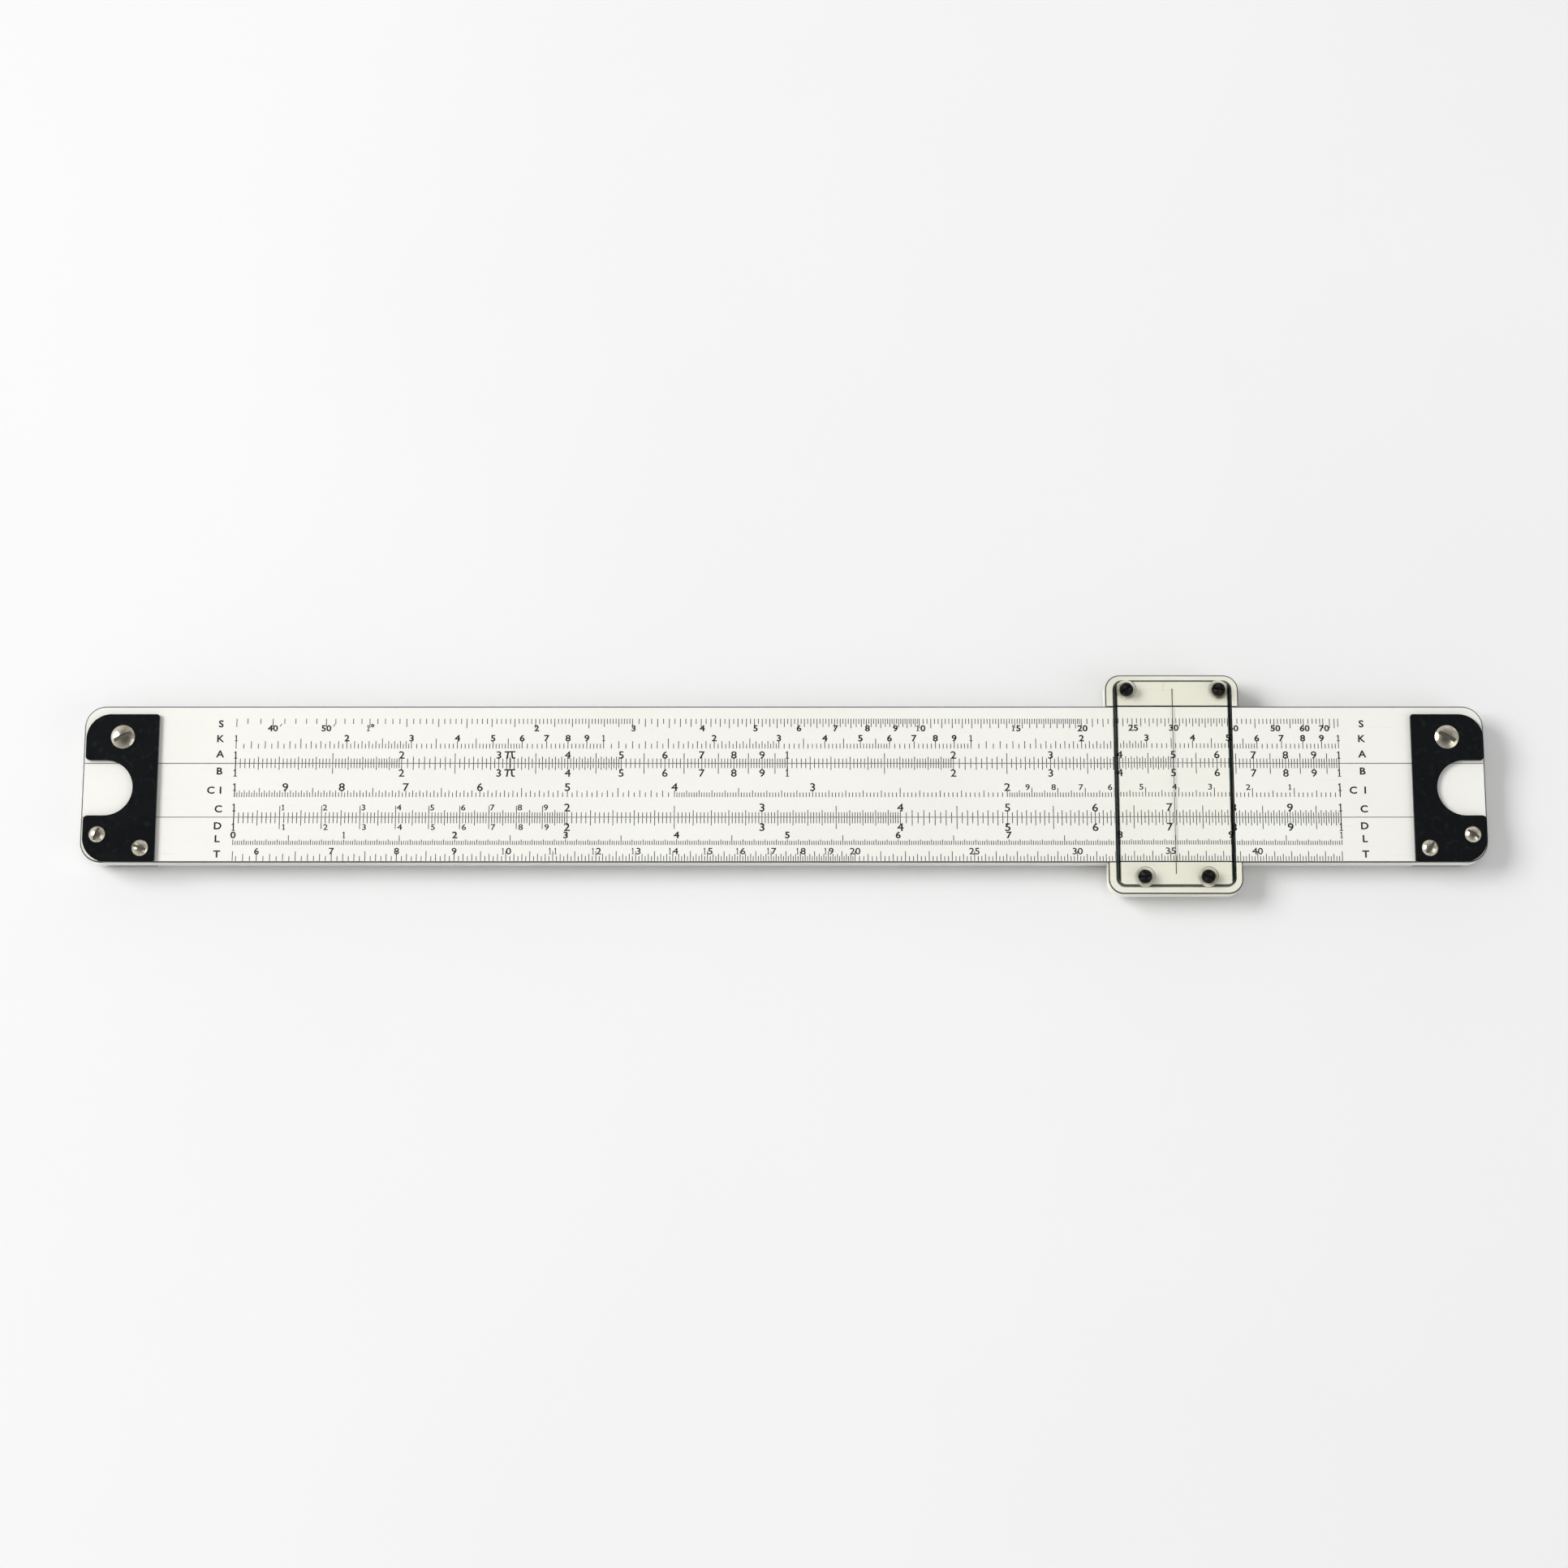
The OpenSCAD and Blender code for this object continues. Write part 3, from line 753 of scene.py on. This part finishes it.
def print_front(material):
    """The nine scales of the face, in one piece of ink for each strip that carries them."""
    face = upper_high.z
    upper = Print("scales_S_K_A", "frame", face)
    print_sine(upper)
    print_cubes(upper)
    print_squares(upper, "A", 13.12, (-1.0, -1.4, -2.2), 11.3, 11.05)
    slide = Print("scales_B_CI_C", "slide", slide_high.z)
    print_squares(slide, "B", 13.33, (1.0, 1.4, 2.3), 15.45, 15.0)
    print_inverse(slide)
    print_numbers(slide, "C", 25.52, (-1.0, -1.5, -2.5), 23.4, 23.7, 0.75)
    lower = Print("scales_D_L_T", "frame", face)
    print_numbers(lower, "D", 25.73, (1.3, 1.8, 2.6), 27.9, 27.6, 1.0)
    print_logarithms(lower)
    print_tangent(lower)
    for ink in (upper, slide, lower):
        ink.finish(material)


# ---- Back tables ----

# One pair of table columns: its left edge, the line before its settings, its right edge, and its
# rows as (quantity, name, value, first setting, second setting)
EQUIVALENTS = [
    (29.6, 42.8, 53.9, [
        ("1", "in.", "2.54 cm", "1", "2.54"), ("1", "ft.", ".3048 m", "292", "89"),
        ("1", "yd.", ".9144 m", "187", "171"), ("1", "m.", "39.37 in.", "95", "3740")]),
    (53.9, 70.8, 81.3, [
        ("1", "mi.", "1.609 km", "87", "140"), ("1", "knot", "1.152 mi.", "33", "38"),
        ("1", "sq. in.", "6.452 cm²", "31", "200"), ("1", "sq. ft.", ".0929 m²", "155", "14.4")]),
    (81.3, 99.0, 109.7, [
        ("1", "sq. yd.", ".8361 m²", "61", "51"), ("1", "sq. mi.", "2.590 km²", "27.8", "72"),
        ("1", "sq. mi.", "640 acres", "1", "640"), ("1", "cu. in.", "16.39 cm³", "15.5", "254")]),
    (109.7, 131.0, 142.2, [
        ("1", "cu. ft.", ".02832 m³", "2260", "64"), ("1", "cu. yd.", ".7646 m³", "85", "65"),
        ("1", "cu. ft.", "62.43 lbs. water", "1.73", "108"),
        ("1", "cu. ft.", "28.32 litres", "3.92", "111")]),
    (142.2, 167.0, 177.4, [
        ("1", "in. mercury", "1.133 ft. water", "151", "171"),
        ("1", "in. mercury", ".4912 lbs./sq. in.", "340", "167"),
        ("1", "U. S. gal.", "3.785 litres", "14", "53"),
        ("1", "U. S. gal.", "231 cu. in.", "1", "231")]),
    (177.4, 200.5, 211.6, [
        ("1", "U. S. gal.", ".1337 cu. ft.", "193", "25.8"),
        ("1", "U. S. gal.", "8.345 lbs. water", "27.8", "232"),
        ("1", "kg.", "2.205 lb.", "176", "388"), ("1", "gram", "15.43 gr.", "19.7", "304")]),
    (211.6, 239.6, 250.6, [
        ("1", "ft. water", ".4335 lbs. sq. in.", "316", "137"),
        ("1", "atmosphere", "14.7 lbs. per sq. in.", "1", "14.7"),
        ("1", "B. T. U.", "778 ft. lbs.", "455", "354"),
        ("1", "H. P.", ".707 B. T. U. per sec.", "232", "164")]),
    (250.6, 278.8, 289.5, [
        ("1", "H. P.", ".746 K. W.", "252", "188"),
        ("1", "mile per hour", "1.467 ft. per sec.", "15", "22"),
        ("", "Side of Square", ".707 Diagonal of Sq.", "99", "70"),
        ("", "Logₑ X", "2.3026 Log X", "205", "472")]),
]
# Places down the table, the width of its thin lines, and the height of its capitals
TABLE_TOP = 0.45
TABLE_FOOT = 8.95
TABLE_HEADING = 1.22
TABLE_RULE = (2.08, 2.28)
TABLE_ROWS = (3.33, 4.95, 6.57, 8.2)
TABLE_LINE = 0.24
TABLE_TEXT = 1.08


def fitted(ink, u, d, string, height, room):
    """Lettering that starts at u and is squeezed if it would pass its room. Returns its width."""
    points, _ = letter_shape(string, PLAIN)
    width = np.ptp(points[:, 0]) * height / CAP_HEIGHT
    return ink.text(u, d, string, height, "LEFT", min(0.95, room / width))


def print_equivalents(ink):
    """Four lines of unit equivalents and of the scale settings that convert them, in eight pairs."""
    for left, line, right, rows in EQUIVALENTS:
        edge_width = 0.36 if left == EQUIVALENTS[0][0] else 0.56
        ink.upright(left, TABLE_TOP, TABLE_FOOT, edge_width)
        ink.upright(line, TABLE_TOP, TABLE_FOOT, TABLE_LINE)
        ink.bar(left, TABLE_RULE[0], right, TABLE_RULE[1])
        ink.text((left + line) / 2, TABLE_HEADING, "* Equivalents", TABLE_TEXT, squeeze=0.95)
        ink.text((line + right) / 2, TABLE_HEADING, "Settings", TABLE_TEXT, squeeze=0.95)
        name_start = left + (1.9 if rows[0][0] else 0.9)
        names = [letter_shape(row[1], PLAIN)[0] for row in rows]
        widest = max(np.ptp(points[:, 0]) for points in names) * TABLE_TEXT / CAP_HEIGHT
        room = line - left - 2.2
        share = min(1.0, room * 0.42 / widest)
        equals = name_start + widest * 0.95 * share + 0.9
        for d, (quantity, name, value, one_side, other_side) in zip(TABLE_ROWS, rows):
            if quantity:
                ink.text(left + 0.95, d, quantity, TABLE_TEXT)
            start = name_start if quantity else left + 0.8
            fitted(ink, start, d, name, TABLE_TEXT, equals - start - 0.7)
            ink.text(equals, d, "=", TABLE_TEXT, squeeze=0.95, weight=BOLD)
            fitted(ink, equals + 0.8, d, value, TABLE_TEXT, line - equals - 1.2)
            ink.text(line + 2.95, d, one_side, TABLE_TEXT, "RIGHT", 0.86)
            ink.text(line + 3.4, d, "opp.", TABLE_TEXT, "LEFT", 0.95)
            ink.text(line + 6.9, d, other_side, TABLE_TEXT, "LEFT", 0.9)
    ink.upright(EQUIVALENTS[-1][2], TABLE_TOP, TABLE_FOOT, TABLE_LINE)


def print_fraction(ink, u, d, top, bottom, dash):
    """A small sloping fraction that ends at u. Where a dash is asked for, it closes with one."""
    end = u
    if dash:
        ink.bar(end - 0.7, d - 0.08, end, d + 0.12)
        end -= 0.85
    end -= ink.text(end, d + 0.5, str(bottom), 1.2, "RIGHT", 0.95, BOLD) + 0.1
    ink.stroke((end - 1.0, d + 1.0), (end, d - 1.0), 0.14)
    ink.text(end - 0.95, d - 0.45, str(top), 1.25, "RIGHT", 1.0, BOLD)


def print_decimals(ink):
    """The 64ths of an inch as decimals, in sixteen groups of four with a line between groups."""
    joint = BACK_JOINTS[0]
    first_line, last_line = 44.0, 273.9
    pitch = (last_line - first_line) / 14
    for group in range(16):
        left = first_line + (group - 1) * pitch
        if group:
            ink.upright(left, joint + 1.5, joint + 11.2, 0.22)
        parts = range(max(1, 4 * group), 4 * group + 4)
        rows = (4.0, 6.6, 9.2) if group == 0 else (2.6, 5.25, 7.9, 10.5)
        for down, part in zip(rows, parts):
            shared = math.gcd(part, 64)
            decimal = f"{part / 64:.6f}".rstrip("0")[1:]
            d = joint + down
            dashed = shared > 1 and group > 0
            print_fraction(ink, left + 6.85, d, part // shared, 64 // shared, dashed)
            ink.text(left + 7.25, d, decimal, 1.95, "LEFT", 0.76)


# Groups of formulas on the back of the upper stator: left edge, room for a line, and the lines
FORMULAS = [
    (50.6, 12.2, ["sin A = y/r", "cos A = x/r", "tan A = y/x"]),
    (64.4, 24.6, ["sin (90° + A) = cos A", "cos (90° + A) = −sin A",
                  "tan (90° + A) = −cot A", "cot (90° + A) = −tan A"]),
    (90.7, 20.2, ["sin²A + cos²A = 1", "1 + tan²A = sec²A", "1 + cot²A = csc²A"]),
    (128.3, 25.6, ["sin 2A = 2 sin A cos A", "cos 2A = cos²A − sin²A", "tan 2A ="]),
    (155.8, 19.6, ["sphere V = 4/3 πr³", "circle A  = πr²", "cyl. or prism", "cone or pyramid"]),
    (176.4, 10.4, ["S = 4πr²", "C = 2πr", "V = Bh", "V = ⅓Bh"]),
    (188.4, 22.0, ["1 radian = 57.296°", "1° = 0.01745 radian", "e  = 2.71828",
                   "logₑN = 2.3026 log₁₀N"]),
    (212.2, 26.6, ["sin²½A = ½(1 − cos A)", "cos²½A = ½(1 + cos A)", "tan ½A ="]),
    (240.5, 25.2, ["", "c² = a² + b² − 2ab cos C"]),
]
FORMULA_LINES = (63.3, 89.7, 127.2, 154.7, 187.5, 211.1, 239.6)
# How far below the joint line the lines of a group stand, by their number, and those of a group
# that ends in a ratio
FORMULA_ROWS = {2: (3.6, 10.2), 3: (3.8, 6.5, 9.3), 4: (3.05, 5.5, 7.95, 10.4)}
RATIO_ROWS = (2.85, 5.1, 8.7)
# The width of the lines between groups, and the height of the capitals
FORMULA_LINE = 0.2
FORMULA_TEXT = 1.65


def print_ratio(ink, u, d, above, below, length):
    """One quantity over another with a line of the given length between them, centred on u."""
    ink.text(u, d - 1.3, above, FORMULA_TEXT, squeeze=0.82)
    ink.bar(u - length / 2, d - 0.08, u + length / 2, d + 0.08)
    ink.text(u, d + 1.35, below, FORMULA_TEXT, squeeze=0.82)


def print_right_triangle(ink, joint):
    """A right triangle on its axes, with its sides r, x and y and its angle A."""
    floor, left, right = joint + 9.8, 32.6, 44.3
    ink.bar(30.4, floor - 0.07, 46.3, floor + 0.07)
    for u in (left, right):
        ink.upright(u, joint + 1.6, floor + 1.2, FORMULA_LINE)
    ink.stroke((left, floor), (right, joint + 1.7), 0.15)
    for u, d, letter in ((38.4, 4.6, "r"), (36.4, 8.8, "A"), (45.3, 6.3, "y"), (38.4, 11.1, "x")):
        ink.text(u, joint + d, letter, 1.3, squeeze=0.85)


def print_scalene_triangle(ink, joint):
    """A triangle with its corners A, B and C and its sides a, b and c."""
    floor, apex, left, right, top = joint + 9.9, 278.2, 271.3, 286.2, joint + 3.2
    corners = ((left, floor), (apex, top), (right, floor), (left, floor))
    for start, end in zip(corners, corners[1:]):
        ink.stroke(start, end, 0.15)
    labels = ((270.2, 9.9, "A", 1.65), (275.8, 3.8, "B", 1.65), (287.4, 9.9, "C", 1.65),
              (275.6, 7.0, "c", 1.4), (281.6, 7.0, "a", 1.4), (278.6, 8.9, "b", 1.4))
    for u, d, letter, height in labels:
        ink.text(u, joint + d, letter, height, squeeze=0.85)


def print_formulas(ink):
    """Trigonometric identities, solids and constants, in groups with a line between them."""
    joint = BACK_JOINTS[1]
    for left, room, lines in FORMULAS:
        rows = RATIO_ROWS if lines[-1].endswith("=") else FORMULA_ROWS[len(lines)]
        for down, line in zip(rows, lines):
            if line:
                fitted(ink, left, joint + down, line, FORMULA_TEXT, room)
    for u in FORMULA_LINES:
        ink.upright(u, joint + 1.85, joint + 11.3, FORMULA_LINE)
    print_ratio(ink, 114.7, joint + 6.5, "sin A", "cos A", 5.3)
    ink.text(118.2, joint + 6.5, "= tan A", FORMULA_TEXT, "LEFT", 0.85)
    print_ratio(ink, 142.3, joint + RATIO_ROWS[2], "2 tan A", "1 − tan²A", 9.0)
    print_ratio(ink, 226.5, joint + RATIO_ROWS[2], "1 − cos A", "sin A", 9.0)
    for i, (side, angle) in enumerate((("a", "A"), ("b", "B"), ("c", "C"))):
        u = 243.2 + i * 8.4
        print_ratio(ink, u, joint + 3.6, side, "sin " + angle, 4.4)
        if i:
            ink.text(u - 4.2, joint + 3.6, "=", FORMULA_TEXT, squeeze=0.85)
    print_right_triangle(ink, joint)
    print_scalene_triangle(ink, joint)


def print_back(material):
    """The three tables of the back, one on each strip."""
    face = upper_low.z
    equivalents = Print("table_equivalents", "frame", face, front=False)
    print_equivalents(equivalents)
    decimals = Print("table_decimals", "slide", slide_low.z, front=False)
    print_decimals(decimals)
    formulas = Print("table_formulas", "frame", face, front=False)
    print_formulas(formulas)
    for ink in (equivalents, decimals, formulas):
        ink.finish(material)


# ---- Stage ----

def add_floor():
    """A wide flat table top at the level that the rule rests on."""
    bpy.ops.mesh.primitive_circle_add(vertices=96, radius=40, fill_type="NGON",
                                      location=(0, 0, cad_low.z))
    floor = bpy.context.object
    floor.name = "table_top"
    floor.data.materials.append(floor_material())


def add_softbox(name, place, size, power, target=(0, 0, 0)):
    """A rectangular soft light aimed at a target."""
    data = bpy.data.lights.new(name, "AREA")
    data.shape = "RECTANGLE"
    data.size, data.size_y = size
    data.energy = power
    light = bpy.data.objects.new(name, data)
    light.location = place
    light.rotation_euler = (Vector(target) - Vector(place)).to_track_quat("-Z", "Y").to_euler()
    bpy.context.scene.collection.objects.link(light)


def set_world():
    """A pale room, brighter to the left, that is dim overhead, where glossy faces look."""
    world = bpy.data.worlds.new("studio")
    world.use_nodes = True
    background = world.node_tree.nodes["Background"]
    parts = coordinates(world, "Generated")[1]
    shade = blend_colors(world, parts["Z"], (0.9, 0.9, 0.9), (0.13, 0.13, 0.131), low=0.3, high=0.97)
    world.node_tree.links.new(shade, background.inputs["Color"])
    strength = vary(world, parts["X"], 1.31, 0.93, start=-1.0, stop=1.0)
    world.node_tree.links.new(strength, background.inputs["Strength"])
    bpy.context.scene.world = world


def add_camera():
    """Looks at the face from the front edge's side, 79 degrees above the table. The rule's length
    fills the given share of the picture's width."""
    elevation = math.radians(79)
    lens, sensor, fill = 70, 36, 0.895
    data = bpy.data.cameras.new("camera")
    data.lens = lens
    data.sensor_width = sensor
    distance = (cad_high.x - cad_low.x) / fill * lens / sensor
    target = Vector((0, 0, upper_high.z))
    camera = bpy.data.objects.new("camera", data)
    camera.location = target + distance * Vector((0, -math.cos(elevation), math.sin(elevation)))
    camera.rotation_euler = (target - camera.location).to_track_quat("-Z", "Y").to_euler()
    bpy.context.scene.collection.objects.link(camera)
    bpy.context.scene.camera = camera


def build():
    """Makes the camera, the ink, every part's looks and the stage."""
    add_camera()
    ink = ink_material()
    print_front(ink)
    print_back(ink)
    dress(["upper_stator", "lower_stator", "slide"], body_material())
    dress(named("front_plate", "back_plate"), plate_material())
    nickel = metal("nickel_steel", (0.56, 0.53, 0.45), (0.36, 0.32, 0.23),
                   roughness=0.17, relief=0.00001)
    dress(named("adjusting_", "fixing_"), nickel)
    dress(["cursor_upper_block", "cursor_lower_block"], cream_material())
    dress(["cursor_window"], acrylic_material())
    dress(["cursor_hairline"], ink)
    spring_steel = metal("spring_steel", (0.5, 0.5, 0.5), (0.38, 0.37, 0.35),
                         roughness=0.3, relief=0.000005)
    dress(["cursor_tension_spring"], spring_steel)
    dress(named("cursor_screw"), black_screw_material())
    chamfer_edges(named("front_plate", "back_plate"), 0.12)
    draw_in("cursor_window", 0.02)
    add_floor()
    add_softbox("key", (-2.2, 0.7, 1.8), (1.6, 1.2), 69)
    add_softbox("fill", (2.2, -1.1, 1.7), (2, 2), 17)
    set_world()
    bpy.context.scene.view_settings.view_transform = "Standard"


build()
